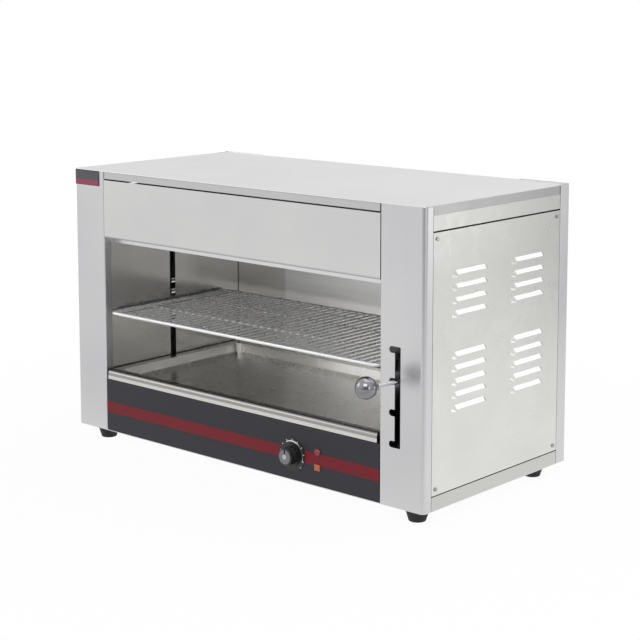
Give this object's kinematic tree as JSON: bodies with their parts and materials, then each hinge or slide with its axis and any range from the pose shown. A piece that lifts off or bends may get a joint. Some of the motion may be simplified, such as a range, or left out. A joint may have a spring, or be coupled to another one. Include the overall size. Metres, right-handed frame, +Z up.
{
  "type": "cheese melter",
  "caption": "Open-fronted countertop grill cabinet with overhead elements, a wire rack that lifts on a notched lever gate, a slide-out drip tray and one control knob.",
  "frame": {"origin": "under the middle of the overall box, on the surface the feet stand on", "axes": "+X to the right along the front, the front faces -Y, +Z up"},
  "size_m": [0.769, 0.4553, 0.4669],
  "materials": {
    "brushed_casing": "fine brushed stainless sheet",
    "cavity_steel": "rolled stainless liner sheet",
    "tray_steel": "pressed stainless tray",
    "charcoal_enamel": "satin charcoal enamel",
    "red_print": "dark red screen print",
    "badge_charcoal": "bare charcoal plate",
    "chrome_wire": "bright chrome wire",
    "polished_ball": "polished steel ball",
    "zinc_steel": "zinc plated steel",
    "screw_steel": "plain steel screws",
    "black_phenolic": "satin black phenolic",
    "cap_aluminium": "satin aluminium",
    "regulator_plastic": "moulded dark plastic",
    "amber_lens": "amber moulded lens",
    "red_lens": "red moulded lens",
    "element_sheath": "heat darkened sheath",
    "steatite": null,
    "gland_nylon": "black nylon",
    "foot_rubber": "black rubber"
  },
  "bodies": {
    "cabinet": {"back_panel": "brushed_casing", "back_panel_screws": "screw_steel", "badge_plate": "badge_charcoal", "base_pan": "brushed_casing", "cable_gland": "gland_nylon", "control_fascia": "charcoal_enamel", "dial_plate": "black_phenolic", "element_bushes": "steatite", "element_hanger": "cavity_steel", "fascia_stripe": "red_print", "feet": "foot_rubber", "foot_screws": "screw_steel", "front_post_left": "brushed_casing", "front_post_right": "brushed_casing", "guide_brackets": "zinc_steel", "guide_rods": "zinc_steel", "header_panel": "brushed_casing", "heating_elements": "element_sheath", "lamp_bodies": "regulator_plastic", "lamp_lens_amber": "amber_lens", "lamp_lens_red": "red_lens", "lid": "brushed_casing", "liner_back": "cavity_steel", "liner_left": "cavity_steel", "liner_right": "cavity_steel", "lower_rail_left": "brushed_casing", "lower_rail_right": "brushed_casing", "panel_clips": "brushed_casing", "rear_post_left": "brushed_casing", "rear_post_right": "brushed_casing", "reflector": "cavity_steel", "regulator": "regulator_plastic", "side_panel_left": "brushed_casing", "side_panel_right": "brushed_casing", "side_panel_screws": "screw_steel", "terminal_block": "regulator_plastic", "tray_runner_left": "cavity_steel", "tray_runner_right": "cavity_steel", "upper_rail_left": "brushed_casing", "upper_rail_right": "brushed_casing"},
    "lift_carriage": {"guide_block_left": "zinc_steel", "guide_block_right": "zinc_steel", "carrier_arm_left": "zinc_steel", "carrier_arm_right": "zinc_steel", "rack_rail_left": "zinc_steel", "rack_rail_right": "zinc_steel", "lift_arm_left": "zinc_steel", "lift_arm_right": "zinc_steel", "lift_cross_bar": "zinc_steel", "lever_fork": "zinc_steel", "lever_pin": "zinc_steel"},
    "lever": {"lever_rod": "zinc_steel", "lever_ball": "polished_ball", "lever_hub": "zinc_steel"},
    "rack": {"wire_rack": "chrome_wire"},
    "tray": {"drip_tray": "tray_steel"},
    "knob": {"control_knob": "black_phenolic", "knob_cap": "cap_aluminium", "knob_spindle": "zinc_steel"}
  },
  "joints": [
    {"name": "rack_lift", "type": "slide", "parent": "cabinet", "child": "lift_carriage", "axis": [0, 0, 1], "range_m": [-0.0936, 0.0468]},
    {"name": "lever_swing", "type": "hinge", "parent": "lift_carriage", "child": "lever", "pos_m": [0.342, -0.08415, 0.207], "axis": [0, 0, 1], "range_deg": [-4, 2.5]},
    {"name": "rack_slide", "type": "slide", "parent": "lift_carriage", "child": "rack", "axis": [0, -1, 0], "range_m": [0, 0.21]},
    {"name": "tray_slide", "type": "slide", "parent": "cabinet", "child": "tray", "axis": [0, -1, 0], "range_m": [0, 0.24]},
    {"name": "knob_turn", "type": "hinge", "parent": "cabinet", "child": "knob", "pos_m": [0.125, -0.15415, 0.059], "axis": [0, 1, 0], "range_deg": [0, 270]}
  ]
}
